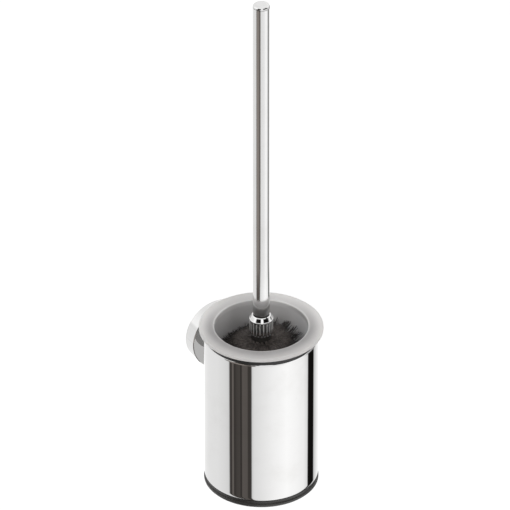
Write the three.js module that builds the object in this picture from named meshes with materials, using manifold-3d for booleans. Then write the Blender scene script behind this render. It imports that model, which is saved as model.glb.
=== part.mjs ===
// Wall-mounted toilet brush holder: a chrome tube on a round wall rosette, a lift-out plastic liner and a
// lift-out brush whose handle unscrews from its head.
//
// Millimetres, +Z up. The origin is the centre of the wall plate's back face, on the wall: +Y points into
// the wall, the holder stands out along -Y and +X is to the right, seen from the room.

import * as THREE from 'three';
import { mergeVertices } from 'three/addons/utils/BufferGeometryUtils.js';
import Module from 'manifold-3d';

const wasm = await Module();
wasm.setup();

// ---- Driving dimensions ------------------------------------------------------------------------------

const gap = 0.3;                   // clearance between pieces that touch
const axisToWall = 64.5;           // from the wall to the axis of the tube
const rimTop = 40;                 // top of the liner's flange above the rosette's centre
const baseBottom = -86.8;          // lowest point of the base cap
const handleTop = 304.5;           // top of the handle cap

const tubeRadius = 40;
const tubeWall = 1;
const tubeBottom = -81;
const tubeTop = 32.3;
const tubeEdgeRound = 1;

const linerBore = 32.8;            // inside radius at the mouth
const linerWall = 1.8;
const linerDraft = 1.1;            // how much narrower the bore is at the floor
const linerFloor = -72;
const flangeRadius = 43.6;
const flangeThickness = 3.2;

const rosetteRadius = 24.4;
const rosetteDepth = 11;
const rosetteWall = 1.8;
const plateRadius = 21.8;
const plateThickness = 5;
const wallScrewSpacing = 20;
const armRadius = 8;

const handleRadius = 6;
const handleWall = 0.8;
const collarRadius = 8.3;
const collarBottom = 33.9;
const fluteTop = 45.6;
const beadTop = 46.6;
const collarTop = 49.5;
const fluteCount = 20;
const studRadius = 3;              // an M6 thread
const studBore = studRadius + gap;
const engagedThread = 12;          // length of stud inside the handle's insert

const coreRadius = 6.6;
const tuftRowCount = 11;
const tuftsPerRow = 14;
const tuftRowPitch = 9;
const lowestTuftRow = -62;
const tuftRowHeight = 6.4;
const tuftReach = 30.8;            // radius of the full rows

const roundSides = 48;             // sides of the large round pieces
const smallSides = 24;             // sides of the small round pieces

// ---- Materials ---------------------------------------------------------------------------------------

const finish = (color, roughness, metalness) =>
  new THREE.MeshStandardMaterial({ color, roughness, metalness });

const chrome = finish(0xd8dadc, 0.06, 1);
const zincSteel = finish(0xa9abad, 0.4, 1);
const brass = finish(0xb8975a, 0.3, 1);
const frostedPlastic = finish(0xd9d8d4, 0.35, 0);
const blackPlastic = finish(0x1b1b1c, 0.45, 0);
const blackRubber = finish(0x101010, 0.7, 0);
const blackBristle = finish(0x1a1817, 0.6, 0);

// ---- Solids ------------------------------------------------------------------------------------------

const point = (x, y) => new THREE.Vector2(x, y);

// Turns a geometry into a solid: its seams are merged, its collapsed triangles dropped, and its faces
// turned outwards.
function solid(geometry) {
  geometry.deleteAttribute('normal');
  geometry.deleteAttribute('uv');
  const merged = mergeVertices(geometry, 1e-4);
  const corners = merged.attributes.position;
  const index = merged.index.array;
  const triangles = [];
  const [a, b, c] = [new THREE.Vector3(), new THREE.Vector3(), new THREE.Vector3()];
  let sixVolumes = 0;
  for (let i = 0; i < index.length; i += 3) {
    const [p, q, r] = index.slice(i, i + 3);
    if (p === q || q === r || r === p) continue;
    triangles.push([p, q, r]);
    a.fromBufferAttribute(corners, p);
    b.fromBufferAttribute(corners, q);
    c.fromBufferAttribute(corners, r);
    sixVolumes += a.dot(b.cross(c));
  }
  if (sixVolumes < 0) triangles.forEach((triangle) => triangle.reverse());
  return new wasm.Manifold(new wasm.Mesh({
    numProp: 3,
    vertProperties: Float32Array.from(corners.array),
    triVerts: Uint32Array.from(triangles.flat()),
  }));
}

// A profile of [radius, height] points turned about the Z axis.
function turnedUpright(profile, sides = roundSides) {
  const points = profile.map(([radius, height]) => point(radius, height));
  points.push(points[0].clone());
  return solid(new THREE.LatheGeometry(points, sides).rotateX(Math.PI / 2));
}

// A profile of [radius, y] points turned about the Y axis, the direction of the wall.
function turnedToWall(profile, sides = smallSides) {
  const points = profile.map(([radius, y]) => point(radius, y));
  points.push(points[0].clone());
  return solid(new THREE.LatheGeometry(points, sides));
}

// A flat outline of [x, y] points raised from one height to another.
function raised(outline, bottom, top, hole = null) {
  const shape = new THREE.Shape(outline.map(([x, y]) => point(x, y)));
  if (hole) shape.holes.push(new THREE.Path(hole.map(([x, y]) => point(x, y))));
  const settings = { depth: top - bottom, bevelEnabled: false };
  return solid(new THREE.ExtrudeGeometry(shape, settings).translate(0, 0, bottom));
}

// Points on a circle, from a function that gives the radius at each step.
function around(steps, radiusAt, turn = 0) {
  return Array.from({ length: steps }, (_, i) => {
    const angle = turn + (2 * Math.PI * i) / steps;
    return [radiusAt(i) * Math.cos(angle), radiusAt(i) * Math.sin(angle)];
  });
}

const plainRod = (radius, bottom, top, sides) =>
  turnedUpright([[0, bottom], [radius, bottom], [radius, top], [0, top]], sides);
const rodToWall = (radius, from, to, sides) =>
  turnedToWall([[0, from], [radius, from], [radius, to], [0, to]], sides);
const onTubeAxis = (body) => body.translate([0, -axisToWall, 0]);

// ---- The named pieces --------------------------------------------------------------------------------

const holder = new THREE.Group();

function place(name, body, material) {
  const { vertProperties, triVerts } = body.getMesh();
  const geometry = new THREE.BufferGeometry();
  geometry.setAttribute('position', new THREE.BufferAttribute(vertProperties, 3));
  geometry.setIndex(new THREE.BufferAttribute(triVerts, 1));
  geometry.computeVertexNormals();
  const mesh = new THREE.Mesh(geometry, material);
  mesh.name = name;
  holder.add(mesh);
}

// ---- Wall fixing -------------------------------------------------------------------------------------

const armScrewHead = 5.2;          // radius of the arm screws' heads
const setScrewRadius = 2;
const plateFront = -plateThickness;
const plateMiddle = -plateThickness / 2;
const grooveDepth = 1.5;           // of the V groove round the plate's edge

// A disc with a V groove round its edge, a pocket for the rear arm screw's head and two countersunk holes.
function wallPlate() {
  const lip = 0.3;
  const [holeRadius, sinkRadius] = [2.4, 5.4];
  const disc = turnedToWall([
    [0, plateFront], [plateRadius, plateFront], [plateRadius, plateFront + lip],
    [plateRadius - grooveDepth, plateMiddle], [plateRadius, -lip], [plateRadius, 0], [0, 0],
  ], roundSides);
  const headPocket = rodToWall(armScrewHead + 1.3, plateFront - 1, plateMiddle);
  const screwHole = turnedToWall([
    [0, plateFront - 1], [sinkRadius, plateFront - 1], [holeRadius, plateMiddle], [holeRadius, 1], [0, 1],
  ]);
  return disc
    .subtract(headPocket)
    .subtract(screwHole.translate([-wallScrewSpacing / 2, 0, 0]))
    .subtract(screwHole.translate([wallScrewSpacing / 2, 0, 0]));
}

// A countersunk screw with a pointed tip and a cross recess.
function wallScrew(side) {
  const [head, tip] = [plateFront + gap, 15];
  const [headRadius, shankRadius] = [3.8, 2];
  const [recessLength, recessWidth, recessDepth] = [4.4, 0.9, 1.2];
  const screw = turnedToWall([
    [0, head], [headRadius, head], [shankRadius, head + 2], [shankRadius, tip - 5], [0.3, tip], [0, tip],
  ], smallSides);
  const recess = (width, height) =>
    solid(new THREE.BoxGeometry(width, 2 * recessDepth, height).translate(0, head, 0));
  return screw
    .subtract(recess(recessLength, recessWidth))
    .subtract(recess(recessWidth, recessLength))
    .translate([side * wallScrewSpacing / 2, 0, 0]);
}

// A shallow cup over the wall plate, with a bevelled front edge, a centre hole and a hole underneath.
function rosetteCover() {
  const front = -rosetteDepth;
  const bevel = 1;
  const inner = rosetteRadius - rosetteWall;
  const cover = turnedToWall([
    [studBore, front], [rosetteRadius - bevel, front], [rosetteRadius, front + bevel],
    [rosetteRadius, 0], [inner, 0], [inner, front + rosetteWall], [studBore, front + rosetteWall],
  ], roundSides);
  const screwHole = plainRod(setScrewRadius + gap, -rosetteRadius - 2, -plateRadius, smallSides);
  return cover.subtract(screwHole.translate([0, plateMiddle, 0]));
}

// A grub screw: a cone point in the plate's groove and a hexagon socket at the outer end.
function rosetteSetScrew() {
  const outer = -rosetteRadius + 0.2;
  const cone = -plateRadius - 0.4;
  const point = grooveDepth - plateRadius - 2 * gap;
  const screw = turnedUpright([
    [0, outer], [setScrewRadius, outer], [setScrewRadius, cone], [0.5, point], [0, point],
  ], smallSides);
  const socket = raised(around(6, () => 1.15), outer - 1, outer + 2);
  return screw.subtract(socket).translate([0, plateMiddle, 0]);
}

place('wall_plate', wallPlate(), zincSteel);
place('wall_screw_left', wallScrew(-1), zincSteel);
place('wall_screw_right', wallScrew(1), zincSteel);
place('rosette_cover', rosetteCover(), chrome);
place('rosette_set_screw', rosetteSetScrew(), zincSteel);

// ---- Arm between the rosette and the tube ------------------------------------------------------------

const coverInside = -rosetteDepth + rosetteWall;
const tubeBack = -axisToWall + tubeRadius;
const tubeBackInside = tubeBack - tubeWall;
const armMiddle = (tubeBack - rosetteDepth) / 2;
const washerRadius = 6.2;
const washerThickness = 1;
const seatHeight = 20;             // half the height of the rods that shape the seats on the tube

// A short rod, bored through, whose front end is hollowed to sit against the tube.
function mountingArm() {
  const tubeSeat = onTubeAxis(plainRod(tubeRadius + gap, -seatHeight, seatHeight, roundSides));
  return rodToWall(armRadius, tubeBack - 2, -rosetteDepth - gap)
    .subtract(rodToWall(studBore, tubeBack - 3, 0))
    .subtract(tubeSeat);
}

// A socket-head screw along Y: its head runs from its face to its seat and its shank on to its end.
function armScrew(face, seat, end) {
  const [socketRadius, socketDepth] = [2, 1.6];
  const screw = turnedToWall([
    [0, face], [armScrewHead, face], [armScrewHead, seat], [studRadius, seat], [studRadius, end], [0, end],
  ]);
  const socket = raised(around(6, () => socketRadius), -socketDepth, socketDepth);
  return screw.subtract(socket.rotate([-90, 0, 0]).translate([0, face, 0]));
}

const rearWasherFront = coverInside + gap;
const rearWasherBack = rearWasherFront + washerThickness;
const rearScrewSeat = rearWasherBack + gap;
const frontWasherFace = tubeBackInside - gap - washerThickness - 0.1;
const frontScrewSeat = frontWasherFace - gap;

const rearWasher = turnedToWall([
  [studBore, rearWasherFront], [washerRadius, rearWasherFront],
  [washerRadius, rearWasherBack], [studBore, rearWasherBack],
]);

// A saddle washer: flat under the screw head, round where it lies against the inside of the tube.
const frontWasher = rodToWall(washerRadius, frontWasherFace, tubeBack)
  .subtract(rodToWall(studBore, frontWasherFace - 1, tubeBack + 1))
  .intersect(onTubeAxis(plainRod(tubeRadius - tubeWall - gap, -seatHeight, seatHeight, roundSides)));

place('mounting_arm', mountingArm(), chrome);
place('arm_washer_rear', rearWasher, zincSteel);
place('arm_screw_rear', armScrew(rearScrewSeat + 2.8, rearScrewSeat, armMiddle + 0.8), zincSteel);
place('arm_washer_front', frontWasher, zincSteel);
place('arm_screw_front', armScrew(frontScrewSeat - 2.2, frontScrewSeat, armMiddle - 0.8), zincSteel);

// ---- Tube, its black ring and its base cap ------------------------------------------------------------

const tubeInside = tubeRadius - tubeWall;
const spigotRadius = tubeInside - gap;
const spigotWall = 1.6;

// A thin tube with rounded outer edges and a hole at the back for the arm's screw.
function holderTube() {
  const [low, high] = [tubeBottom + tubeEdgeRound, tubeTop - tubeEdgeRound];
  const soft = 0.3 * tubeEdgeRound;
  const tube = turnedUpright([
    [tubeInside, tubeBottom], [tubeRadius - soft, tubeBottom + soft], [tubeRadius, low],
    [tubeRadius, high], [tubeRadius - soft, tubeTop - soft], [tubeInside, tubeTop],
  ]);
  return onTubeAxis(tube).subtract(rodToWall(studBore, tubeBackInside - 2, tubeBack + 2));
}

// The ring sits on the tube's top edge, with a skirt inside the tube.
const rimRingRadius = tubeRadius + 0.2;
const rimRingTop = rimTop - flangeThickness - gap;
const skirtBottom = tubeTop - 4.3;
const rimRing = turnedUpright([
  [spigotRadius - spigotWall, skirtBottom], [spigotRadius, skirtBottom], [spigotRadius, tubeTop + gap],
  [rimRingRadius, tubeTop + gap], [rimRingRadius, rimRingTop], [spigotRadius - spigotWall, rimRingTop],
]);

// A shallow cap: a spigot inside the tube, a groove, a visible ring and a hollow underside.
const capShoulder = tubeBottom - gap;
const capRadius = 40.1;
const capGroove = 39.3;            // radius at the bottom of the groove
const capHollow = 36;              // radius of the hollow underside
const capFloorTop = tubeBottom - 0.5;
const capFloorBottom = capFloorTop - 2.8;
const capSpigotTop = tubeBottom + 8;
const baseCap = turnedUpright([
  [0, capFloorBottom], [capHollow, capFloorBottom], [capHollow, baseBottom], [capRadius - 1.4, baseBottom],
  [capRadius, baseBottom + 1.5], [capRadius, baseBottom + 3], [capGroove, baseBottom + 3.3],
  [capGroove, capShoulder], [spigotRadius, capShoulder], [spigotRadius, capSpigotTop],
  [spigotRadius - spigotWall, capSpigotTop], [spigotRadius - spigotWall, capFloorTop], [0, capFloorTop],
]);

place('holder_tube', holderTube(), chrome);
place('rim_ring', onTubeAxis(rimRing), blackRubber);
place('base_cap', onTubeAxis(baseCap), blackPlastic);

// ---- Liner -------------------------------------------------------------------------------------------

const flangeUnder = rimTop - flangeThickness;
const linerOutside = linerBore + linerWall;
const floorBore = linerBore - linerDraft;
const floorOutside = linerOutside - linerDraft;
const floorUnder = linerFloor - 2;

const liner = turnedUpright([
  [0, floorUnder], [floorOutside - 6, floorUnder], [floorOutside - 2.2, floorUnder + 1.5],
  [floorOutside, floorUnder + 5], [linerOutside, flangeUnder - 2.5], [linerOutside + 0.7, flangeUnder - 0.6],
  [linerOutside + 1.8, flangeUnder], [flangeRadius - 1, flangeUnder], [flangeRadius - 0.2, flangeUnder + 0.5],
  [flangeRadius, flangeUnder + 1.4], [flangeRadius - 0.1, rimTop - 0.8], [flangeRadius - 0.6, rimTop - 0.15],
  [flangeRadius - 1.3, rimTop], [linerBore + 0.8, rimTop], [linerBore + 0.2, rimTop - 0.3],
  [linerBore, rimTop - 1], [floorBore, linerFloor + 4], [floorBore - 1.7, linerFloor + 1.4],
  [floorBore - 5, linerFloor], [0, linerFloor],
]);

place('liner', onTubeAxis(liner), frostedPlastic);

// ---- Brush head --------------------------------------------------------------------------------------

const coreTip = linerFloor + gap;
const coreTop = collarBottom - gap;
const studBottom = 15;
const thrustWasherBottom = collarTop + gap;
const thrustWasherTop = thrustWasherBottom + 0.6;
const handleBottom = thrustWasherTop + gap;
const studTop = handleBottom + engagedThread;

// The plastic stem that carries the tufts, with a rounded tip and a socket for the stud.
const brushCore = turnedUpright([
  [0, coreTip], [3, coreTip + 0.3], [5.2, coreTip + 1.7], [6.4, coreTip + 4.2], [coreRadius, coreTip + 7],
  [coreRadius, coreTop], [studBore, coreTop], [studBore, studBottom - gap], [0, studBottom - gap],
], smallSides);

// How far a row's tufts reach: the lower rows round off the head, the top row is short.
const rowReach = (row) => {
  const shortened = { 0: 0.65, 1: 0.86, 2: 0.96, [tuftRowCount - 1]: 0.72 };
  return tuftReach * (shortened[row] ?? 1);
};

// One row of tufts as a star: the tufts join at a hub that clears the core. Rows alternate by half a tuft.
function tuftRow(row) {
  const hub = coreRadius + gap;
  const valley = hub + 3.4;        // radius between two tufts
  const halfWidth = 0.3;           // of a tuft's end, as a share of the step between tufts
  const reach = rowReach(row);
  const outline = [];
  const step = (2 * Math.PI) / tuftsPerRow;
  for (let tuft = 0; tuft < tuftsPerRow; tuft += 1) {
    const middle = (tuft + (row % 2) / 2) * step;
    const corners = [
      [valley, middle - step / 2], [reach, middle - step * halfWidth], [reach, middle + step * halfWidth],
    ];
    corners.forEach(([radius, angle]) => outline.push([radius * Math.cos(angle), radius * Math.sin(angle)]));
  }
  const centre = lowestTuftRow + row * tuftRowPitch;
  const hole = around(smallSides, () => hub).reverse();
  return raised(outline, centre - tuftRowHeight / 2, centre + tuftRowHeight / 2, hole);
}

// The collar: flutes cut into its side, a bead above them and a shoulder that narrows to the handle.
function collar() {
  const fluteDepths = [0, 0.15, 0.7, 0.15];
  const steps = fluteDepths.length;
  const fluted = raised(
    around(fluteCount * steps, (i) => collarRadius - fluteDepths[i % steps]), collarBottom, fluteTop + 0.1,
  );
  const beadRadius = collarRadius + 0.1;
  const shoulder = turnedUpright([
    [0, fluteTop], [beadRadius, fluteTop], [beadRadius, beadTop], [handleRadius, collarTop], [0, collarTop],
  ], roundSides);
  return fluted.add(shoulder).subtract(plainRod(studBore, collarBottom - 1, collarTop + 1, smallSides));
}

place('brush_core', onTubeAxis(brushCore), blackPlastic);
for (let row = 0; row < tuftRowCount; row += 1) {
  place(`tuft_row_${String(row + 1).padStart(2, '0')}`, onTubeAxis(tuftRow(row)), blackBristle);
}
place('stud', onTubeAxis(plainRod(studRadius, studBottom, studTop, smallSides)), zincSteel);
place('collar', onTubeAxis(collar()), chrome);

// ---- Handle ------------------------------------------------------------------------------------------

const tubeBore = handleRadius - handleWall;
const capThickness = 2;
const capUnder = handleTop - capThickness;
const capEdge = 0.5;
const plugBottom = capUnder - 10;
const insertRadius = tubeBore - gap;
const insertTop = handleBottom + 25;
const thrustWasherRadius = 5.6;

const thrustWasher = turnedUpright([
  [studBore, thrustWasherBottom], [thrustWasherRadius, thrustWasherBottom],
  [thrustWasherRadius, thrustWasherTop], [studBore, thrustWasherTop],
], smallSides);

const handleTube = turnedUpright([
  [tubeBore, handleBottom], [handleRadius, handleBottom], [handleRadius, capUnder - gap],
  [tubeBore, capUnder - gap],
], smallSides);

const threadInsert = turnedUpright([
  [studBore, handleBottom], [insertRadius, handleBottom], [insertRadius, insertTop], [studBore, insertTop],
], smallSides);

const handleCap = turnedUpright([
  [0, plugBottom], [insertRadius, plugBottom], [insertRadius, capUnder], [handleRadius, capUnder],
  [handleRadius, handleTop - capEdge], [handleRadius - capEdge, handleTop], [0, handleTop],
], smallSides);

place('thrust_washer', onTubeAxis(thrustWasher), blackPlastic);
place('handle_tube', onTubeAxis(handleTube), chrome);
place('thread_insert', onTubeAxis(threadInsert), brass);
place('handle_cap', onTubeAxis(handleCap), chrome);

export default holder;
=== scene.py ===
"""Wall-mounted toilet brush holder: its finished surfaces, its finishes, the lights and the camera.

Metres, +Z up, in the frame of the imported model: the origin is on the wall behind the rosette, +Y points
into the wall and +X is to the right, seen from the room. Every piece is worked out from the boxes of the
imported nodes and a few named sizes.
"""

import math

import bpy
import numpy as np
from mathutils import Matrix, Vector


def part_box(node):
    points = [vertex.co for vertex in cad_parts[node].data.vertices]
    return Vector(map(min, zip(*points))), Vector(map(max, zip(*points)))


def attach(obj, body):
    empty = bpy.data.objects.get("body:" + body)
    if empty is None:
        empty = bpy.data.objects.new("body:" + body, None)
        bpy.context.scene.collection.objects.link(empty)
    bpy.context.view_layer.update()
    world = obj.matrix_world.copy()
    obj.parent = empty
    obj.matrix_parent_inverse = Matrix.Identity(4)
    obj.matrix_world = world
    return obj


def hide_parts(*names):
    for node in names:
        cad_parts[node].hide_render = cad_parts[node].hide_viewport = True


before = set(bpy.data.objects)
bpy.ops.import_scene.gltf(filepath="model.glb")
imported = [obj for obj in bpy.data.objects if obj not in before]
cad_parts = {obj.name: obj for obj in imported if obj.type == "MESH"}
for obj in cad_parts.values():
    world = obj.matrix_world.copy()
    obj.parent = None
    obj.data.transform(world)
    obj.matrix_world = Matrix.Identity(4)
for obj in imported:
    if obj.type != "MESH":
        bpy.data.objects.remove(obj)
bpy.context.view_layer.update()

MM = 0.001
TURN = 2 * math.pi
scene = bpy.context.scene

# ---- Sizes from the frame ----------------------------------------------------------------------------


def span(node):
    """Radius, bottom and top of a node that is turned about the tube's axis."""
    low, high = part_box(node)
    return (high.x - low.x) / 2, low.z, high.z


def depth(node):
    """Radius, front and back of a node that is turned about an axis towards the wall."""
    low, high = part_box(node)
    return (high.x - low.x) / 2, low.y, high.y


tube_low, tube_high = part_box("holder_tube")
AXIS_Y = (tube_low.y + tube_high.y) / 2
TUBE_RADIUS, TUBE_BOTTOM, TUBE_TOP = span("holder_tube")
FLANGE_RADIUS, LINER_UNDER, RIM_TOP = span("liner")
HANDLE_RADIUS, HANDLE_BOTTOM, HANDLE_SEAM = span("handle_tube")
CORE_RADIUS, CORE_BOTTOM, CORE_TOP = span("brush_core")
STUD_RADIUS, STUD_BOTTOM, STUD_TOP = span("stud")
COLLAR_RADIUS, COLLAR_BOTTOM, COLLAR_TOP = span("collar")
ROSETTE_RADIUS, ROSETTE_FRONT, ROSETTE_BACK = depth("rosette_cover")

TUBE_WALL = 1.0 * MM
CLEARANCE = 0.3 * MM               # between pieces that touch
SCREW_HOLE = STUD_RADIUS + CLEARANCE
FLUTES = 20
FLUTE_TOP = COLLAR_TOP - 3.9 * MM
BORE_RADIUS = 32.8 * MM            # inside of the liner at its mouth
LINER_WALL = 1.8 * MM
LINER_DRAFT = 1.1 * MM
FLANGE_THICKNESS = 3.2 * MM
HANDLE_WALL = 0.8 * MM
THREAD_PITCH = 1 * MM

# ---- Surfaces ----------------------------------------------------------------------------------------


def outline(*corners, loop=True, steps=6):
    """A profile through corners (a, b, fillet). A fillet is an arc of that radius, tangent to both
    sides: its tangent points are radius / tan(half the opening) from the corner. A holding point on
    either side keeps the flats beside it flat. Without loop, the first and last corners are ends on
    the axis."""
    most_reach, most_margin = 0.46, 0.02       # shares of the shorter side
    place = [np.array(corner[:2], float) for corner in corners]
    count = len(corners)
    path = []
    for i, corner in enumerate(corners):
        if not loop and i in (0, count - 1):
            path.append(place[i])
            continue
        before, here, after = place[i - 1], place[i], place[(i + 1) % count]
        back, ahead = before - here, after - here
        room = min(np.linalg.norm(back), np.linalg.norm(ahead))
        back, ahead = back / np.linalg.norm(back), ahead / np.linalg.norm(ahead)
        opening = math.acos(max(-1, min(1, float(back @ ahead))))
        fillet = corner[2] if len(corner) > 2 else 0
        reach = min(fillet / max(math.tan(opening / 2), 1e-6), most_reach * room)
        margin = min(0.04 * MM, most_margin * room)
        path.append(here + back * (reach + margin))
        if reach > 0 and opening < math.pi - 0.01:
            centre = here + (back + ahead) / np.linalg.norm(back + ahead) * reach / math.cos(opening / 2)
            start, end = here + back * reach - centre, here + ahead * reach - centre
            sweep = math.pi - opening
            for s in np.linspace(0, 1, steps + 1):
                path.append(centre + (math.sin((1 - s) * sweep) * start + math.sin(s * sweep) * end)
                            / math.sin(sweep))
        else:
            path.append(here)
        path.append(here + ahead * (reach + margin))
    return np.array(path)


def upright(profile, steps, swell=None):
    """Rings of a profile of (radius, height) turned about the tube's axis. swell(angle, radius,
    height) changes the radii of the whole array."""
    angle = np.linspace(0, TURN, steps, endpoint=False)[None, :]
    radius, height = profile[:, :1] + 0 * angle, profile[:, 1:2] + 0 * angle
    if swell is not None:
        radius = swell(angle, radius, height)
    return np.stack([radius * np.cos(angle), AXIS_Y + radius * np.sin(angle), height], -1)


def to_wall(profile, x, steps, swell=None):
    """Rings of a profile of (radius, y) turned about the line at x that runs into the wall."""
    angle = np.linspace(0, TURN, steps, endpoint=False)[None, :]
    radius, along = profile[:, :1] + 0 * angle, profile[:, 1:2] + 0 * angle
    if swell is not None:
        radius = swell(angle, radius, along)
    return np.stack([x + radius * np.cos(angle), along, -radius * np.sin(angle)], -1)


def grid(rows, columns, loop_rows):
    """Four-cornered faces between rows of points. Each row closes on itself, and with loop_rows so
    do the rows."""
    i = np.arange(rows if loop_rows else rows - 1)[:, None]
    j = np.arange(columns)[None, :]
    below, beside = (i + 1) % rows, (j + 1) % columns
    corners = [i * columns + j, i * columns + beside, below * columns + beside, below * columns + j]
    return np.stack(corners, -1).reshape(-1, 4)


def make_piece(name, points, faces, body, finish, uv=None):
    """A smooth mesh object from points and from arrays of faces, in place of the node of its name.
    The faces are turned outwards: the sum of the signed volumes under them is positive."""
    triangles = np.concatenate([f[:, [0, k, k + 1]] for f in faces for k in range(1, f.shape[1] - 1)])
    a, b, c = (points[triangles[:, k]] for k in range(3))
    if np.einsum("ij,ij->i", a, np.cross(b, c)).sum() < 0:
        faces = [f[:, ::-1] for f in faces]
    corners = np.concatenate([f.ravel() for f in faces]).astype(np.int32)
    sizes = np.concatenate([np.full(len(f), f.shape[1]) for f in faces])
    mesh = bpy.data.meshes.new(name)
    mesh.vertices.add(len(points))
    mesh.vertices.foreach_set("co", points.astype(np.float32).ravel())
    mesh.loops.add(len(corners))
    mesh.loops.foreach_set("vertex_index", corners)
    mesh.polygons.add(len(sizes))
    mesh.polygons.foreach_set("loop_start", (np.cumsum(sizes) - sizes).astype(np.int32))
    mesh.polygons.foreach_set("use_smooth", np.ones(len(sizes), bool))
    if uv is not None:
        layer = mesh.uv_layers.new(name="UVMap")
        layer.data.foreach_set("uv", uv[corners].astype(np.float32).ravel())
    mesh.update(calc_edges=True)
    mesh.validate()
    mesh.materials.append(finish)
    piece = bpy.data.objects.new(name, mesh)
    scene.collection.objects.link(piece)
    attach(piece, body)
    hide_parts(name)


def skin(name, rings, body, finish, ends=None):
    """A closed skin over rings of points: each ring is joined to the next, and the last to the
    first, or, with ends, the first and last rings are closed by fans to two points."""
    rows, columns = rings.shape[:2]
    points = rings.reshape(-1, 3)
    faces = [grid(rows, columns, ends is None)]
    if ends is not None:
        j = np.arange(columns)
        beside = (j + 1) % columns
        first, last = len(points), len(points) + 1
        points = np.concatenate([points, np.array(ends, float)])
        faces.append(np.stack([np.full(columns, first), beside, j], -1))
        edge = (rows - 1) * columns
        faces.append(np.stack([np.full(columns, last), edge + j, edge + beside], -1))
    make_piece(name, points, faces, body, finish)


def turned_piece(name, profile, body, finish, steps=192, swell=None):
    """A piece turned about the tube's axis. A profile that starts on the axis also ends on it."""
    if profile[0][0] > 0:
        skin(name, upright(profile, steps, swell), body, finish)
    else:
        ends = [(0, AXIS_Y, profile[0][1]), (0, AXIS_Y, profile[-1][1])]
        skin(name, upright(profile[1:-1], steps, swell), body, finish, ends)


# ---- Shader maths ------------------------------------------------------------------------------------


class Value:
    """A shader socket that takes part in sums. Each operator adds its Math node."""

    def __init__(self, tree, socket):
        self.tree, self.socket = tree, socket

    def _sum(self, operation, *terms):
        node = self.tree.nodes.new("ShaderNodeMath")
        node.operation = operation
        for socket, term in zip(node.inputs, terms):
            fill(self.tree, socket, term)
        return Value(self.tree, node.outputs[0])

    def __add__(self, other): return self._sum("ADD", self, other)
    def __radd__(self, other): return self._sum("ADD", other, self)
    def __sub__(self, other): return self._sum("SUBTRACT", self, other)
    def __rsub__(self, other): return self._sum("SUBTRACT", other, self)
    def __mul__(self, other): return self._sum("MULTIPLY", self, other)
    def __rmul__(self, other): return self._sum("MULTIPLY", other, self)
    def __truediv__(self, other): return self._sum("DIVIDE", self, other)


def fill(tree, socket, value):
    """Links a Value to a socket, or sets the socket to a number or a colour."""
    if isinstance(value, Value):
        tree.links.new(value.socket, socket)
    elif isinstance(value, tuple) and len(value) == 3 and socket.type == "RGBA":
        socket.default_value = (*value, 1)
    else:
        socket.default_value = value


class Nodes:
    """Adds nodes to one tree."""

    def __init__(self, tree):
        self.tree = tree
        tree.nodes.clear()

    def add(self, kind, settings=None, values=None, output=0):
        """A node of a kind, its settings first, then the values or links of its sockets."""
        node = self.tree.nodes.new("ShaderNode" + kind)
        for key, setting in (settings or {}).items():
            if key == "stops":
                self._stops(node.color_ramp, setting)
            else:
                setattr(node, key, setting)
        for key, value in (values or {}).items():
            fill(self.tree, self._open(node.inputs, key), value)
        return Value(self.tree, self._open(node.outputs, output))

    @staticmethod
    def _open(sockets, key):
        shown = [socket for socket in sockets if not socket.is_unavailable]
        if isinstance(key, int):
            return shown[key] if shown else None
        return next(socket for socket in shown if socket.name == key)

    @staticmethod
    def _stops(ramp, stops):
        while len(ramp.elements) < len(stops):
            ramp.elements.new(1)
        for element, (position, level) in zip(ramp.elements, stops):
            element.position = position
            element.color = (*level, 1) if isinstance(level, tuple) else (level, level, level, 1)

    def noise(self, where, scale, detail=2.0, roughness=0.5):
        return self.add("TexNoise", None, {
            "Vector": where, "Scale": scale, "Detail": detail, "Roughness": roughness})

    def scaled(self, where, scale, offset=(0, 0, 0)):
        return self.add("Mapping", None, {"Vector": where, "Scale": scale, "Location": offset})

    def between(self, value, low, high, to_low=0.0, to_high=1.0):
        """A value carried smoothly from one range to another, and kept inside it."""
        return self.add("MapRange", {"interpolation_type": "SMOOTHSTEP"}, {
            "Value": value, "From Min": low, "From Max": high, "To Min": to_low, "To Max": to_high})

    def mix(self, share, a, b):
        return self.add("Mix", {"data_type": "RGBA"}, {"Factor": share, "A": a, "B": b})

    def bump(self, height, distance, normal=None):
        values = {"Height": height, "Distance": distance, "Strength": 1.0}
        if normal is not None:
            values["Normal"] = normal
        return self.add("Bump", None, values, "Normal")


def finish(name, build):
    """A material whose node tree is built by a function that returns the values of its Principled
    shader's sockets."""
    material = bpy.data.materials.new(name)
    material["slot"] = name
    material.use_nodes = True
    nodes = Nodes(material.node_tree)
    place = nodes.add("TexCoord", None, None, "Object")
    shader = nodes.add("BsdfPrincipled", None, build(nodes, place))
    nodes.add("OutputMaterial", None, {"Surface": shader})
    return material


def axis_place(nodes, place):
    """The place measured from the tube's axis, its distance from that axis and its height."""
    centred = nodes.scaled(place, (1, 1, 1), (0, -AXIS_Y, 0))
    flat = nodes.add("VectorMath", {"operation": "MULTIPLY"}, {0: centred, 1: (1, 1, 0)})
    radius = nodes.add("VectorMath", {"operation": "LENGTH"}, {0: flat}, "Value")
    height = nodes.add("SeparateXYZ", None, {"Vector": place}, "Z")
    return centred, radius, height


def flange_share(nodes, centred, direction):
    """How far a place lies from the axis in a level direction, in flange radii."""
    along = nodes.add("VectorMath", {"operation": "DOT_PRODUCT"}, {0: centred, 1: direction}, "Value")
    return along / FLANGE_RADIUS


# ---- Finishes ----------------------------------------------------------------------------------------


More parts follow.
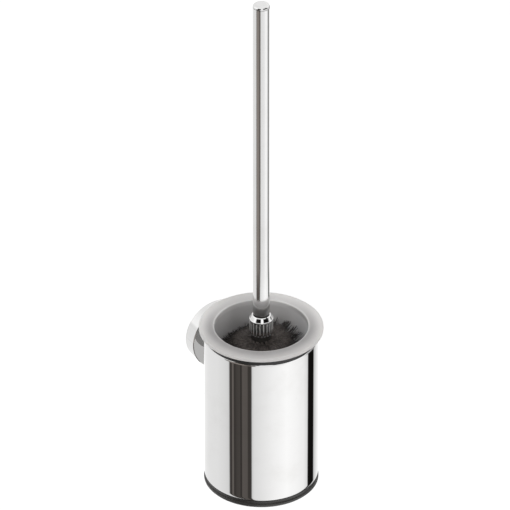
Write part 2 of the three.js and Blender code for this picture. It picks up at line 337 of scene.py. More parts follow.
def chrome(nodes, place, polish=0.012):
    """Polished chrome: a faint ripple in the plating, wiping marks and a little haze."""
    ripple = nodes.noise(place, 60, 2)
    wiping = nodes.noise(nodes.scaled(place, (900, 900, 60)), 1, 3, 0.6)
    haze = nodes.between(nodes.noise(place, 35, 4, 0.6), 0.45, 0.8)
    marks = nodes.between(wiping, 0.62, 0.85)
    return {
        "Base Color": nodes.mix(haze, (0.635, 0.633, 0.63), (0.60, 0.596, 0.59)),
        "Metallic": 1.0,
        "Roughness": polish + 0.02 * haze + 0.03 * marks,
        "Normal": nodes.bump(ripple, 0.02 * MM, nodes.bump(wiping, 0.0006 * MM)),
    }


def handled_chrome(nodes, place):
    """The handle's chrome, dulled a little by hands."""
    return chrome(nodes, place, 0.09)


def fluted_chrome(nodes, place):
    """The collar's chrome: polished in the flutes, and worn to satin on the crests between them."""
    _, radius, height = axis_place(nodes, place)
    crest = nodes.between(radius, 7.8 * MM, 8.1 * MM) \
        * nodes.between(height, FLUTE_TOP, FLUTE_TOP - 0.4 * MM)
    wear = nodes.between(nodes.noise(place, 900, 3, 0.6), 0.3, 0.6)
    bare = (0.97, 0.96, 0.95)
    values = chrome(nodes, place)
    values["Roughness"] = values["Roughness"] + crest * (0.4 + 0.2 * wear)
    values["Base Color"] = nodes.mix(crest, values["Base Color"], bare)
    return values


def zinc_steel(nodes, place):
    """Zinc-plated steel: a dull, slightly mottled grey."""
    mottle = nodes.noise(place, 420, 4, 0.6)
    return {
        "Base Color": nodes.mix(mottle, (0.42, 0.43, 0.44), (0.62, 0.63, 0.64)),
        "Metallic": 1.0,
        "Roughness": 0.3 + 0.2 * mottle,
        "Normal": nodes.bump(nodes.noise(place, 2500, 3), 0.01 * MM),
    }


def brass(nodes, place):
    """Turned brass with fine tool rings and some dark stain."""
    rings = nodes.noise(nodes.scaled(place, (40, 40, 6000)), 1, 2)
    stain = nodes.between(nodes.noise(place, 160, 4, 0.6), 0.4, 0.75)
    return {
        "Base Color": nodes.mix(stain, (0.72, 0.52, 0.22), (0.5, 0.33, 0.13)),
        "Metallic": 1.0,
        "Roughness": 0.22 + 0.15 * rings + 0.12 * stain,
        "Normal": nodes.bump(rings, 0.01 * MM),
    }


def frosted_plastic(nodes, place):
    """Frosted translucent plastic, its tone painted by place: painted shade darkens it towards the front,
    the mouth and down the inner wall; painted light lightens the back, the lip and the inner right wall."""
    centred, radius, height = axis_place(nodes, place)
    back = flange_share(nodes, centred, (0.49, 0.87, 0))
    right = flange_share(nodes, centred, (0.87, -0.49, 0))
    # Painted shade and light: the flange's front is coloured darker than its back, both outside and near
    # the mouth.
    outer_front_shade, outer_back_lit = (0.475, 0.465, 0.46), (0.68, 0.67, 0.66)
    inner_front_shade, inner_back_lit = (0.315, 0.305, 0.305), (0.62, 0.61, 0.605)
    # Painted light and shade in the inner wall's colours: the lip grey is a painted highlight, the low wall
    # painted shade and the right wall painted light.
    lip_highlight_grey, wall_top, wall_low_shade, wall_right_lit = \
        (0.56, 0.55, 0.545), (0.47, 0.46, 0.455), (0.33, 0.32, 0.32), (0.80, 0.79, 0.79)

    # Painted shade: the flange darkens towards the mouth. The lip mask eases it just outside the mouth,
    # leaving a lighter ring as a painted highlight.
    lip = nodes.between(radius, BORE_RADIUS + 1.5 * MM, BORE_RADIUS + 0.6 * MM)
    mouth_shade = nodes.between(radius, BORE_RADIUS + 9.5 * MM, BORE_RADIUS + 2 * MM) \
        * (1 - 0.55 * lip) * nodes.between(height, RIM_TOP - 2.8 * MM, RIM_TOP - 1.8 * MM)
    outer = nodes.mix(nodes.between(back, -1.0, 0.4), outer_front_shade, outer_back_lit)
    inner = nodes.mix(nodes.between(back, -0.3, 0.9), inner_front_shade, inner_back_lit)
    flange = nodes.mix(mouth_shade, outer, inner)
    cloud = nodes.noise(place, 90, 3, 0.55)
    paler = nodes.mix(0.05, flange, (1, 0.99, 0.98))
    flange = nodes.mix(nodes.between(cloud, 0.3, 0.7), flange, paler)

    inside = nodes.between(radius, BORE_RADIUS + 0.6 * MM, BORE_RADIUS + 0.1 * MM)
    deep = nodes.between(height, RIM_TOP - 2.2 * MM, RIM_TOP - 4.8 * MM)
    # Painted shade: the inner wall darkens from its top downwards.
    down = nodes.between(height, RIM_TOP - 4 * MM, RIM_TOP - 22 * MM)
    wall = nodes.mix(down, wall_top, wall_low_shade)
    # Painted light: the inner wall is lighter on its right side.
    wall = nodes.mix(nodes.between(right, 0.3, 0.75), wall, wall_right_lit)
    # Painted highlight: the top of the inner wall, at the lip, takes the lighter lip grey.
    wall = nodes.mix(deep, lip_highlight_grey, wall)
    return {
        "Base Color": nodes.mix(inside, flange, wall),
        "Roughness": nodes.between(cloud, 0.3, 0.7, 0.42, 0.52),
        "Subsurface Weight": 0.6,
        "Subsurface Radius": (1.0, 0.95, 0.9),
        "Subsurface Scale": 5 * MM,
        "Specular IOR Level": 0.35,
        "Normal": nodes.bump(nodes.noise(place, 2600, 2), 0.012 * MM),
    }


def black_plastic(nodes, place):
    """Moulded black plastic with a fine grain."""
    grain = nodes.noise(place, 3200, 2)
    cloud = nodes.noise(place, 120, 3)
    return {
        "Base Color": nodes.mix(cloud, (0.014, 0.013, 0.012), (0.026, 0.024, 0.022)),
        "Roughness": 0.34 + 0.14 * cloud,
        "Normal": nodes.bump(grain, 0.012 * MM),
    }


def black_rubber(nodes, place):
    """Black rubber, duller than the plastic, with a trace of dust."""
    dust = nodes.between(nodes.noise(place, 700, 4, 0.65), 0.55, 0.85)
    return {
        "Base Color": nodes.mix(dust, (0.008, 0.0075, 0.007), (0.024, 0.023, 0.021)),
        "Roughness": 0.5 + 0.25 * dust,
        "Normal": nodes.bump(nodes.noise(place, 1800, 3), 0.02 * MM),
    }


def bristle(nodes, place):
    """Black nylon bristles: each has its own tone, the tips are a little worn, and those near the
    liner's wall are coloured near black, as painted shade of the liner."""
    strand = nodes.add("UVMap", {"uv_map": "UVMap"})
    along = nodes.add("SeparateXYZ", None, {"Vector": strand}, "X")
    own = nodes.add("SeparateXYZ", None, {"Vector": strand}, "Y")
    _, radius, _ = axis_place(nodes, place)
    darkest, lightest = (0.028, 0.024, 0.022), (0.12, 0.104, 0.095)
    worn_grey, painted_wall_shade = (0.16, 0.142, 0.13), (0.008, 0.007, 0.006)
    worn = nodes.between(along, 0.88, 1.0, 0.0, 0.25)
    # Painted shade: bristles near the liner's wall are coloured almost black.
    wall_shade_mask = nodes.between(radius, 17 * MM, 24 * MM)
    strand_colour = nodes.mix(worn, nodes.mix(own, darkest, lightest), worn_grey)
    return {
        "Base Color": nodes.mix(wall_shade_mask * 0.85, strand_colour, painted_wall_shade),
        "Roughness": 0.36 + 0.16 * own,
        "Normal": nodes.bump(nodes.noise(place, 4000, 2), 0.01 * MM),
    }


CHROME = finish("chrome", chrome)
HANDLED_CHROME = finish("chrome", handled_chrome)
FLUTED_CHROME = finish("chrome", fluted_chrome)
ZINC_STEEL = finish("zinc_steel", zinc_steel)
BRASS = finish("brass", brass)
FROSTED_PLASTIC = finish("frosted_plastic", frosted_plastic)
BLACK_PLASTIC = finish("black_plastic", black_plastic)
BLACK_RUBBER = finish("black_rubber", black_rubber)
BRISTLE = finish("bristle", bristle)

# ---- Screws and threads ------------------------------------------------------------------------------


def thread(pitch, share, start, end):
    """Swell of a helical thread between two places along the axis: a rounded ridge whose crest stays
    at the given radius and moves one pitch along for each turn. Between the ridges a share of the
    radius is cut away, and the cut fades out at both ends."""
    def swell(angle, radius, along):
        wave = 0.5 + 0.5 * np.cos(TURN * (along / pitch) - angle)
        fade = np.clip((along - start) / pitch, 0, 1) * np.clip((end - along) / pitch, 0, 1)
        return radius * (1 - share * (1 - wave) * fade)
    return swell


# ---- Wall fixing -------------------------------------------------------------------------------------


def rosette_cover():
    """A shallow cup, its front edge bevelled with soft corners."""
    wall, bevel, soft = 1.8 * MM, 0.5 * MM, 0.2 * MM
    inner = ROSETTE_RADIUS - wall
    profile = outline(
        (SCREW_HOLE, ROSETTE_FRONT, 0),
        (ROSETTE_RADIUS - bevel, ROSETTE_FRONT, soft),
        (ROSETTE_RADIUS, ROSETTE_FRONT + bevel, soft),
        (ROSETTE_RADIUS, ROSETTE_BACK, 0.15 * MM),
        (inner, ROSETTE_BACK, 0.15 * MM),
        (inner, ROSETTE_FRONT + wall, 0.5 * MM),
        (SCREW_HOLE, ROSETTE_FRONT + wall, 0),
    )
    skin("rosette_cover", to_wall(profile, 0, 256), "holder", CHROME)


def wall_screw(name):
    """A countersunk screw with a threaded shank, a pointed tip and a cross recess. At an angle a from
    the nearest arm of the cross, the recess ends where the arm ends, at reach / cos(a), or at its
    side, at width / sin(a)."""
    low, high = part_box(name)
    middle = (low.x + high.x) / 2
    head_radius, head, tip = depth(name)
    shank, point, taper, sink = 2 * MM, 0.3 * MM, 5 * MM, 2 * MM
    reach, width, recess = 2.2 * MM, 0.45 * MM, 1.2 * MM
    steps = 72
    angle = np.linspace(0, TURN, steps, endpoint=False)
    off_arm = np.abs((angle + TURN / 8) % (TURN / 4) - TURN / 8)
    cross = np.minimum(reach / np.cos(off_arm), width / np.maximum(np.sin(off_arm), 1e-3))
    rows = np.arange(head + sink + 0.1 * MM, tip - 0.1 * MM, 0.2 * MM)
    tapered = point + (tip - rows) / taper * (shank - point)
    outside = np.concatenate([
        [[head_radius - 0.3 * MM, head], [head_radius - 0.05 * MM, head + 0.05 * MM],
         [head_radius, head + 0.15 * MM], [shank + 0.1 * MM, head + sink]],
        np.stack([np.minimum(shank, tapered), rows], -1), [[point, tip]],
    ])
    rings = to_wall(outside, middle, steps, thread(1.6 * MM, 0.3, head + sink + 1 * MM, tip))

    def star(size, y):
        """The outline of the recess at a place along the screw."""
        across, up = size * cross * np.cos(angle), -size * cross * np.sin(angle)
        return np.stack([middle + across, np.full(steps, y), up], -1)

    inner = np.array([star(0.8, head + recess), star(0.95, head + 0.1 * MM), star(1.0, head)])
    ends = [(middle, head + recess, 0), (middle, tip, 0)]
    skin(name, np.concatenate([inner, rings]), "holder", ZINC_STEEL, ends)


def mounting_arm():
    """A rod from the rosette to the tube, bored through. Its front end is hollowed to fit the tube:
    each point of that end is sqrt(seat^2 - x^2) behind the tube's axis."""
    radius, _, back = depth("mounting_arm")
    seat = TUBE_RADIUS + CLEARANCE
    angle = np.linspace(0, TURN, 128, endpoint=False)[None, :]

    def ring(r, share):
        """Points at radius r, a share of the way from the front end to the back."""
        front = AXIS_Y + np.sqrt(seat ** 2 - (r * np.cos(angle)) ** 2)
        y = front + share * (back - front)
        return np.stack([r * np.cos(angle) + 0 * y, y, -r * np.sin(angle) + 0 * y], -1)[0]

    edge = 0.25 * MM
    near = edge / (back - AXIS_Y - seat)
    half = [(SCREW_HOLE, 0), (radius - 2 * edge, 0), (radius - edge, 0),
            (radius - 0.3 * edge, 0.3 * near), (radius, near), (radius, 2 * near)]
    rings = [ring(r, share) for r, share in half] + [ring(r, 1 - share) for r, share in half[::-1]]
    skin("mounting_arm", np.array(rings), "holder", CHROME)


# ---- Tube, ring and base -----------------------------------------------------------------------------


def holder_tube():
    """A thin tube whose ends are rolled inwards: the outside leaves the straight along a quarter
    ellipse."""
    inner, hold = TUBE_RADIUS - TUBE_WALL, 0.1 * MM
    turn = np.linspace(0, TURN / 4, 12)

    def roll(inwards, along, rim):
        """Points from the straight to the rim: it moves inwards by 1 - cos and along by sin."""
        return np.stack([TUBE_RADIUS - inwards * (1 - np.cos(turn)),
                         rim - along * (1 - np.sin(turn))], -1)

    bottom = roll(0.75 * MM, -2.6 * MM, TUBE_BOTTOM)[::-1]
    top = roll(0.4 * MM, 1.2 * MM, TUBE_TOP)
    inside = np.array([[inner, TUBE_TOP], [inner, TUBE_TOP - hold],
                       [inner, TUBE_BOTTOM + hold], [inner, TUBE_BOTTOM]])
    turned_piece("holder_tube", np.concatenate([bottom, top, inside]), "holder", CHROME, 320)


SKIRT_RADIUS = TUBE_RADIUS - TUBE_WALL - CLEARANCE
SKIRT_BORE = SKIRT_RADIUS - 1.6 * MM


def rim_ring():
    """A rubber ring on the tube's top edge, with a skirt inside the tube."""
    radius, bottom, top = span("rim_ring")
    seat = TUBE_TOP + CLEARANCE
    turned_piece("rim_ring", outline(
        (SKIRT_BORE, bottom, 0.2 * MM), (SKIRT_RADIUS, bottom, 0.4 * MM), (SKIRT_RADIUS, seat, 0),
        (radius, seat, 0.5 * MM), (radius, top, 0.7 * MM), (SKIRT_BORE, top, 0.3 * MM),
    ), "holder", BLACK_RUBBER)


def base_cap():
    """A shallow cap: a visible ring with soft edges, a groove above it, a spigot inside the tube and a
    hollow underside with two low rings and the mark of its moulding point."""
    radius, bottom, top = span("base_cap")
    seat = TUBE_BOTTOM - CLEARANCE
    floor_top = TUBE_BOTTOM - 0.5 * MM
    floor = floor_top - 2.8 * MM
    hollow, groove = 36 * MM, radius - 0.8 * MM
    mark, rib, soft = 0.4 * MM, 0.6 * MM, 0.2 * MM
    ribs = [(start + out, floor - fall, soft) for start in (11 * MM, 24 * MM)
            for out, fall in ((0, 0), (0.4 * MM, rib), (1.6 * MM, rib), (2 * MM, 0))]
    turned_piece("base_cap", outline(
        (0, floor - mark), (1.6 * MM, floor - mark, soft), (2.2 * MM, floor, soft), *ribs,
        (hollow, floor, 0.8 * MM), (hollow, bottom, 0.4 * MM),
        (radius - 1.4 * MM, bottom, 0.8 * MM), (radius, bottom + 1.5 * MM, 0.8 * MM),
        (radius, bottom + 3 * MM, 0.25 * MM), (groove, bottom + 3.3 * MM, 0.15 * MM),
        (groove, seat, 0), (SKIRT_RADIUS, seat, 0), (SKIRT_RADIUS, top, 0.4 * MM),
        (SKIRT_BORE, top, 0.4 * MM), (SKIRT_BORE, floor_top, 0.4 * MM), (0, floor_top), loop=False,
    ), "holder", BLACK_PLASTIC, 256)


# ---- Liner -------------------------------------------------------------------------------------------


def liner():
    """A drafted cup under a flat flange, with a softly rounded mouth."""
    floor = LINER_UNDER + 2 * MM
    under = RIM_TOP - FLANGE_THICKNESS
    outside = BORE_RADIUS + LINER_WALL
    turned_piece("liner", outline(
        (0, LINER_UNDER), (outside - LINER_DRAFT, LINER_UNDER, 5.5 * MM),
        (outside, under, 1.2 * MM), (FLANGE_RADIUS, under, 1.2 * MM),
        (FLANGE_RADIUS, RIM_TOP, 1.3 * MM), (BORE_RADIUS, RIM_TOP, 0.7 * MM),
        (BORE_RADIUS - LINER_DRAFT, floor, 4 * MM), (0, floor), loop=False, steps=8,
    ), "liner", FROSTED_PLASTIC, 256)


# ---- Brush head --------------------------------------------------------------------------------------

ROWS = 11
UPPER_ROWS = (10, 11)              # of tufts, whose tips show above the liner


def brush_core():
    """The stem that carries the tufts: a rounded tip, a plain side and a socket for the stud."""
    socket = STUD_BOTTOM - CLEARANCE
    turned_piece("brush_core", outline(
        (0, CORE_BOTTOM), (CORE_RADIUS, CORE_BOTTOM, 4.5 * MM), (CORE_RADIUS, CORE_TOP, 0.5 * MM),
        (SCREW_HOLE, CORE_TOP, 0.3 * MM), (SCREW_HOLE, socket, 0), (0, socket), loop=False,
    ), "brush_head", BLACK_PLASTIC, 96)


def crown(angle, radius):
    """Height that the tips of the upper tufts reach: a cone that falls from the collar to the liner's
    wall, raised in ragged clumps on the side that the brush leans on. The clumps are a sine of the
    angle whose phase is itself swung by a slower sine, and they grow from the middle to the wall."""
    slope = CORE_TOP + 0.6 * MM - (radius - 8 * MM) * 0.56
    leaning = np.clip(np.cos(angle - math.radians(24)) * 1.6 - 0.5, 0, 1)
    clumps = 0.5 + 0.5 * np.sin(23 * angle + 1.7 * np.sin(9 * angle))
    outwards = np.clip((radius - 12 * MM) / (16 * MM), 0, 1)
    return slope + leaning * clumps * 8 * MM * outwards


def rods(lines, side, rng, thickness=0.24 * MM, corners=3):
    """Points, faces and strand coordinates of thin rods along lines, an array of rods by rings of
    points. Each ring has its corners at even angles about its point, between the side direction and
    straight up. A rod narrows with the third power of the share t of its length, and its strand
    coordinates are t and a number of its own."""
    count, rings = lines.shape[:2]
    t = np.linspace(0, 1, rings)[None, :]
    up = np.array([0.0, 0.0, 1.0])
    thick = thickness * (1 - 0.35 * t ** 3) * rng.uniform(0.85, 1.1, (count, 1))
    around = rng.uniform(0, TURN, (count, 1)) + np.arange(corners)[None, :] * TURN / corners
    across = side[:, :, None] * np.cos(around)[:, None, :, None] \
        + up * np.sin(around)[:, None, :, None]
    points = lines[:, :, None] + across * thick[:, :, None, None]
    first = np.arange(count)[:, None, None] * rings * corners
    i, j = np.arange(rings - 1)[None, :, None], np.arange(corners)[None, None, :]
    beside, above = (j + 1) % corners, (i + 1) * corners
    walls = np.stack([first + i * corners + j, first + i * corners + beside,
                      first + above + beside, first + above + j], -1).reshape(-1, 4)
    roots = first[:, 0] + np.arange(corners)[::-1][None, :]
    tips = first[:, 0] + (rings - 1) * corners + np.arange(corners)[None, :]
    strand = np.stack(np.broadcast_arrays(t[:, :, None], rng.uniform(0, 1, (count, 1, 1)),
                                          np.zeros((1, 1, corners)))[:2], -1)
    return points.reshape(-1, 3), [walls, roots, tips], strand.reshape(-1, 2)


def tuft_row(row):
    """One row of tufts as separate bristles, each a thin rod along a bent line: a point at share t is
    the root, plus t times the reach outwards, plus a rise that grows with t, plus a bend that grows
    with t squared. In the upper rows most of the rise grows with the fourth power of t, so that the
    tips stand up, and they end under the crown."""
    name = f"tuft_row_{row:02d}"
    upper = row in UPPER_ROWS
    reach, low, high = span(name)
    middle = (low + high) / 2
    bristles = 2200 if upper else 760
    late = 0.6 if upper else 0.0
    tufts = 14
    rng = np.random.default_rng(row)
    tuft = rng.integers(0, tufts, bristles)
    spread = rng.normal(0, 1, (4, bristles))
    root_angle = (tuft + (row % 2) / 2) * TURN / tufts + 0.055 * np.clip(spread[0], -2, 2)
    root_height = middle + 1.1 * MM * np.clip(spread[1], -1.8, 1.8)
    tip_angle = root_angle + 0.16 * np.clip(spread[2], -2.2, 2.2)
    root_radius = CORE_RADIUS - 0.4 * MM
    bend = rng.normal(0, 0.7 * MM, bristles)
    if upper:
        nearest = 10 * MM if row == ROWS else 17 * MM
        tip_radius = rng.uniform(nearest, reach, bristles)
        tip_height = crown(tip_angle, tip_radius) - np.abs(rng.normal(0, 1.6 * MM, bristles))
        length = tip_radius - root_radius
        rise = tip_height - root_height - bend
    else:
        length = (reach - root_radius) * rng.uniform(0.9, 1.0, bristles)
        rise = 3.4 * MM * np.clip(spread[3], -1.6, 1.6) * length / (20 * MM)
    t = np.linspace(0, 1, 5)[None, :]
    radius = root_radius + length[:, None] * t
    angle = root_angle[:, None] + (tip_angle - root_angle)[:, None] * t
    height = root_height[:, None] + rise[:, None] * ((1 - late) * t + late * t ** 4) \
        + bend[:, None] * t ** 2
    lines = np.stack([radius * np.cos(angle), AXIS_Y + radius * np.sin(angle), height], -1)
    side = np.stack([-np.sin(angle), np.cos(angle), 0 * angle], -1)
    points, faces, strand = rods(lines, side, rng)
    make_piece(name, points, faces, "brush_head", BRISTLE, strand)


def collar():
    """A fluted nut, with a bead above the flutes and a shoulder that narrows to the handle. The
    flutes' depth is 1 less the sixth power of |cos| of their angle, so that they are wide hollows
    between narrow lands. They run out at both ends, and the side draws in towards the bottom with
    the square of the way down."""
    radius, bottom, top, flute_top = COLLAR_RADIUS, COLLAR_BOTTOM, COLLAR_TOP, FLUTE_TOP
    bead_top = flute_top + 0.9 * MM
    side = radius - 0.1 * MM
    flute_depth, run_out = 0.7 * MM, 0.8 * MM
    pinch, pinch_height = 1.0 * MM, 5 * MM
    rows = np.linspace(bottom + 0.3 * MM, flute_top - 0.1 * MM, 16)
    lower = outline((SCREW_HOLE, bottom, 0.1 * MM), (side, bottom, 0.3 * MM),
                    (side, bottom + 4 * MM, 0))[:-2]
    upper = outline(
        (side, flute_top - 1 * MM, 0), (side, flute_top, 0.05 * MM),
        (radius, flute_top + 0.1 * MM, 0.3 * MM), (radius, bead_top - 0.2 * MM, 0.4 * MM),
        (radius - 0.45 * MM, bead_top + 0.1 * MM, 0.1 * MM),
        (HANDLE_RADIUS + 0.75 * MM, top - 0.5 * MM, 0.7 * MM),
        (HANDLE_RADIUS + 0.1 * MM, top, 0.3 * MM), (SCREW_HOLE, top, 0.1 * MM),
        (SCREW_HOLE, bottom, 0), steps=10,
    )

    def flutes(angle, radii, heights):
        land = np.abs(np.cos(FLUTES / 2 * angle))
        cut = np.clip(1 - land ** 6 * 1.15, 0, 1)
        fade = np.clip((heights - bottom - 0.2 * MM) / run_out, 0, 1) \
            * np.clip((flute_top - heights) / run_out, 0, 1)
        drawn_in = pinch * (1 - np.clip((heights - bottom) / pinch_height, 0, 1)) ** 2
        return radii - np.where(radii > side - 0.5 * MM, flute_depth * cut * fade + drawn_in, 0)

    outer_rows = np.stack([np.full(len(rows), side), rows], -1)
    profile = np.concatenate([lower[lower[:, 1] < rows[0]], outer_rows,
                              upper[upper[:, 1] > rows[-1]]])
    turned_piece("collar", profile, "brush_head", FLUTED_CHROME, 320, flutes)


def stud():
    """A threaded stud with chamfered ends."""
    end_radius = STUD_RADIUS - 0.6 * MM
    rows = np.arange(STUD_BOTTOM + 0.5 * MM, STUD_TOP - 0.5 * MM, THREAD_PITCH / 6)
    profile = np.concatenate([
        [[0, STUD_BOTTOM], [end_radius, STUD_BOTTOM]],
        np.stack([np.full(len(rows), STUD_RADIUS), rows], -1),
        [[end_radius, STUD_TOP], [0, STUD_TOP]],
    ])
    turned_piece("stud", profile, "brush_head", ZINC_STEEL, 48,
                 thread(THREAD_PITCH, 0.18, STUD_BOTTOM, STUD_TOP))


# ---- Handle ------------------------------------------------------------------------------------------


def thrust_washer():
    """A flat plastic washer with rounded edges."""
    radius, bottom, top = span("thrust_washer")
    turned_piece("thrust_washer", outline(
        (SCREW_HOLE, bottom, 0.15 * MM), (radius, bottom, 0.25 * MM),
        (radius, top, 0.25 * MM), (SCREW_HOLE, top, 0.15 * MM),
    ), "washer", BLACK_PLASTIC, 96)


def handle_tube():
    """A straight tube with softened edges."""
    bore = HANDLE_RADIUS - HANDLE_WALL
    turned_piece("handle_tube", outline(
        (bore, HANDLE_BOTTOM, 0.1 * MM), (HANDLE_RADIUS, HANDLE_BOTTOM, 0.3 * MM),
        (HANDLE_RADIUS, HANDLE_SEAM, 0.1 * MM), (bore, HANDLE_SEAM, 0.1 * MM),
    ), "handle", HANDLED_CHROME, 128)


def thread_insert():
    """A brass insert. Outside, 48 knurls are cut with depth 1 - |sin|, and inside, the thread's grooves
    widen the bore by a cosine that moves one pitch along for each turn."""
    radius, bottom, top = span("thread_insert")
    bore, mouth = SCREW_HOLE, SCREW_HOLE + 0.4 * MM
    near = 0.1 * MM
    rows = np.linspace(top - 0.5 * MM, bottom + 0.5 * MM, 120)
    inside = np.stack([np.full(len(rows), bore), rows], -1)
    outside = outline((mouth, bottom, 0), (radius, bottom, 0.2 * MM), (radius, top, 0.2 * MM),
                      (mouth, top, 0))[1:-1]

    def cut(angle, radii, heights):
        knurl = 0.12 * MM * (1 - np.abs(np.sin(24 * angle)))
        groove = 0.25 * MM * (0.5 + 0.5 * np.cos(TURN * heights / THREAD_PITCH - angle))
        change = np.where(radii > radius - near, -knurl, np.where(radii < bore + near, groove, 0))
        return radii + change

    turned_piece("thread_insert", np.concatenate([outside, inside]), "handle", BRASS, 96, cut)


def handle_cap():
    """A plug in the end of the handle. Its edge is a quarter ellipse, wider than it is high, round a
    flat top."""
    radius, bottom, top = span("handle_cap")
    seam = top - 2 * MM
    plug = HANDLE_RADIUS - HANDLE_WALL - CLEARANCE
    inset, drop = 2.4 * MM, 1.75 * MM
    turn = np.linspace(0, TURN / 4, 18)
    edge = np.stack([radius - inset * (1 - np.cos(turn)), top - drop + drop * np.sin(turn)], -1)
    lower = outline((0, bottom), (plug, bottom, 0.4 * MM), (plug, seam, 0), (radius, seam, 0.1 * MM),
                    (radius, top - drop), loop=False)[:-1]
    flat = np.array([[radius - inset - 0.1 * MM, top], [0, top]])
    turned_piece("handle_cap", np.concatenate([lower, edge, flat]), "handle", HANDLED_CHROME, 128)


# ---- Making ------------------------------------------------------------------------------------------

rosette_cover()
wall_screw("wall_screw_left")
wall_screw("wall_screw_right")
mounting_arm()
holder_tube()
rim_ring()
base_cap()
liner()
brush_core()
for row in range(1, ROWS + 1):
    tuft_row(row)
collar()
stud()
thrust_washer()
handle_tube()
thread_insert()
handle_cap()

for name in ("wall_plate", "rosette_set_screw", "arm_washer_rear", "arm_screw_rear",
             "arm_washer_front", "arm_screw_front"):
    for material_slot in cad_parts[name].material_slots:
        material_slot.material = ZINC_STEEL

# ---- Floor, light and camera -------------------------------------------------------------------------

CAMERA_BEARING = -29.4             # degrees round the object, 0 in front of the wall
CAMERA_HEIGHT = 32.8               # degrees above the horizon
VIEW_WIDTH = 355.0 * MM
LENS, SENSOR = 1500.0, 36.0        # millimetres, as the camera's own settings take them
WHITE = (1.0, 1.0, 1.0)


def floor():
    """A pale round floor far below the holder."""
    size, level, steps = 14.0, -1.4, 96
    angle = np.linspace(0, TURN, steps, endpoint=False)
    mesh = bpy.data.meshes.new("floor")
    rim = np.stack([size * np.cos(angle), size * np.sin(angle), np.full(steps, level)], -1)
    mesh.from_pydata(rim.tolist(), [], [list(range(steps))])
    mesh.materials.append(finish("pale_floor", lambda nodes, place: {
        "Base Color": nodes.mix(nodes.noise(place, 3, 2), (0.93, 0.93, 0.93), (0.95, 0.95, 0.95)),
        "Roughness": 0.9, "Specular IOR Level": 0.1,
        "Emission Color": WHITE, "Emission Strength": 0.62,
    }))
    obj = bpy.data.objects.new("floor", mesh)
    scene.collection.objects.link(obj)
    obj.visible_glossy = False


def room_bands(bands):
    """Ramp stops from bearings, in degrees to the right of the camera as seen from the holder, and
    from how bright the chrome looks where it shows the room there. The dark cards are a little warm."""
    chrome_share, gamma = 0.62, 2.2
    warm = np.array([1.10, 0.98, 0.90])
    stops = []
    for band, level in bands:
        tint = warm if level < 0.5 else np.ones(3)
        colour = tint * level ** gamma / chrome_share
        stops.append(((band + 180) / 360, tuple(float(part) for part in colour)))
    return stops


def studio():
    """The room as the chrome sees it: pale walls with dark cards between them, in bands by bearing,
    which differ low and high in the room, and a bright ceiling. Matt surfaces get an even, softer
    light, and the background is white."""
    ceiling, matt_light = (1.25, 1.25, 1.25), (0.36, 0.36, 0.36)
    world = bpy.data.worlds.new("studio")
    scene.world = world
    world.use_nodes = True
    nodes = Nodes(world.node_tree)
    direction = nodes.add("TexCoord", None, None, "Generated")
    bearing = bearing_share(nodes, direction)
    low_room = nodes.add("ValToRGB", {"stops": room_bands([
        (-180, 0.93), (-158, 0.84), (-100, 0.855), (-80, 0.83), (-72, 0.81), (-68, 0.78), (-67, 0.24),
        (-62, 0.22), (-60.5, 0.36), (-58, 0.36), (-56.5, 0.20), (-50, 0.25), (-43, 0.26), (-42, 0.18),
        (-40, 0.18), (-39, 0.32), (-28, 0.31), (-27, 0.23), (-20, 0.21), (-18.5, 0.78), (-14, 0.84),
        (-3, 0.865), (24, 0.925), (53, 0.97), (77, 0.945), (96, 0.91), (103, 0.86), (107.5, 0.82),
        (109, 0.10), (130, 0.08), (133, 0.74), (150, 0.86),
    ])}, {"Fac": bearing}, "Color")
    high_room = nodes.add("ValToRGB", {"stops": room_bands([
        (-180, 0.86), (-130, 0.87), (-108, 0.94), (-56, 0.96), (-52, 0.10), (-6, 0.10), (-2, 0.97),
        (20, 0.97), (24, 0.08), (94, 0.08), (99, 0.97), (140, 0.90),
    ])}, {"Fac": bearing}, "Color")
    rise = nodes.add("SeparateXYZ", None, {"Vector": direction}, "Z")
    upper = nodes.between(rise, 0.10, 0.20) * nodes.between(rise, 0.88, 0.82)
    room = nodes.mix(upper, low_room, high_room)
    room = nodes.mix(nodes.between(rise, 0.82, 0.88), room, ceiling)
    mirrored = nodes.add("LightPath", None, None, "Is Glossy Ray")
    seen = nodes.add("LightPath", None, None, "Is Camera Ray")
    shown = nodes.mix(seen, nodes.mix(mirrored, matt_light, room), WHITE)
    background = nodes.add("Background", None, {"Color": shown, "Strength": 1.0})
    nodes.add("OutputWorld", None, {"Surface": background})


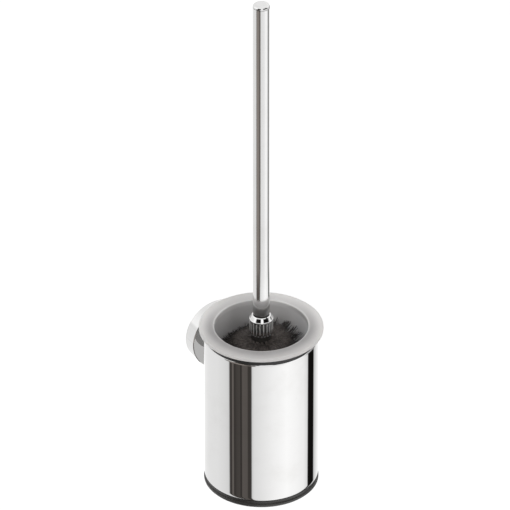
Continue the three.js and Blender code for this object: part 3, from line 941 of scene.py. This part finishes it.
def handle_cards():
    """A round wall of cards about the holder that only the chrome sees, fading out at both edges. An
    upright mirror sends the camera's rays down, so they meet the wall lower than where they met the
    mirror, by drop = distance x tan(camera's height). The handle mirrors the cards, and the tube's
    rays pass below them."""
    steps, size = 180, 0.5
    low_fade, high_fade = 25 * MM, 80 * MM
    drop = size * math.tan(math.radians(CAMERA_HEIGHT))
    low_edge, high_edge = HANDLE_BOTTOM + 21 * MM - drop, HANDLE_SEAM + 90 * MM - drop
    angle = np.linspace(0, TURN, steps, endpoint=False)
    rim = np.stack([size * np.cos(angle), AXIS_Y + size * np.sin(angle)], -1)
    points = [(x, y, z) for z in (low_edge, high_edge) for x, y in rim.tolist()]
    faces = [(i, (i + 1) % steps, steps + (i + 1) % steps, steps + i) for i in range(steps)]
    mesh = bpy.data.meshes.new("handle_cards")
    mesh.from_pydata(points, [], faces)

    def cards(nodes, place):
        centred, _, height = axis_place(nodes, place)
        fade = nodes.between(height, low_edge, low_edge + low_fade) \
            * nodes.between(height, high_edge, high_edge - high_fade)
        shade = nodes.add("ValToRGB", {"stops": room_bands([
            (-180, 0.84), (-140, 0.85), (-73, 0.84), (-70, 0.52), (-60, 0.49), (-36, 0.48), (-27, 0.37),
            (-12, 0.36), (-9, 0.84), (15, 0.86), (42, 0.89), (57, 0.95), (76, 0.94), (90, 0.90), (95, 0.54),
            (124, 0.52), (130, 0.90), (150, 0.96), (179, 0.90),
        ])}, {"Fac": bearing_share(nodes, centred)}, "Color")
        return {"Base Color": (0, 0, 0), "Specular IOR Level": 0.0, "Roughness": 1.0,
                "Emission Color": shade, "Emission Strength": 1.0, "Alpha": fade}

    mesh.materials.append(finish("handle_cards", cards))
    obj = bpy.data.objects.new("handle_cards", mesh)
    scene.collection.objects.link(obj)
    obj.visible_camera = obj.visible_diffuse = False
    obj.visible_shadow = obj.visible_transmission = False


def bearing_share(nodes, direction):
    """The bearing of a direction from the camera's, as a share of a whole turn: 0.5 points at the
    camera."""
    turned = nodes.add("VectorRotate", {"rotation_type": "Z_AXIS"}, {
        "Vector": direction, "Angle": math.radians(90 - CAMERA_BEARING)})
    x = nodes.add("SeparateXYZ", None, {"Vector": turned}, "X")
    y = nodes.add("SeparateXYZ", None, {"Vector": turned}, "Y")
    return nodes.add("Math", {"operation": "ARCTAN2"}, {0: y, 1: x}) / TURN + 0.5


def soft_light(name, bearing, height, distance, power):
    """A square soft light, aimed at the middle of the liner's mouth, that the chrome doesn't mirror."""
    lamp = bpy.data.lights.new(name, "AREA")
    lamp.shape, lamp.size, lamp.energy = "SQUARE", 1.2, power
    obj = bpy.data.objects.new(name, lamp)
    obj.location = Vector((0, AXIS_Y, RIM_TOP)) + distance * direction(bearing, height)
    obj.rotation_euler = direction(bearing, height).to_track_quat("Z", "Y").to_euler()
    obj.visible_glossy = False
    scene.collection.objects.link(obj)


def direction(bearing, height):
    """Unit vector from the holder: bearing 0 is in front of the wall and 90 to the right."""
    b, h = math.radians(bearing), math.radians(height)
    return Vector((math.sin(b) * math.cos(h), -math.cos(b) * math.cos(h), math.sin(h)))


def camera():
    """A long lens, aimed at the handle a little to the left of the tube's axis."""
    aim = Vector((-3.8 * MM, AXIS_Y + 2.2 * MM, 98.2 * MM))
    lens = bpy.data.cameras.new("camera")
    lens.lens, lens.sensor_width = LENS, SENSOR
    lens.clip_end = 100
    obj = bpy.data.objects.new("camera", lens)
    towards = direction(CAMERA_BEARING, CAMERA_HEIGHT)
    obj.location = aim + towards * (VIEW_WIDTH * LENS / SENSOR)
    obj.rotation_euler = towards.to_track_quat("Z", "Y").to_euler()
    scene.collection.objects.link(obj)
    scene.camera = obj


floor()
studio()
handle_cards()
soft_light("key", bearing=-10, height=55, distance=2.0, power=26)
soft_light("fill", bearing=-80, height=35, distance=2.2, power=8)
camera()
scene.view_settings.view_transform = "Standard"
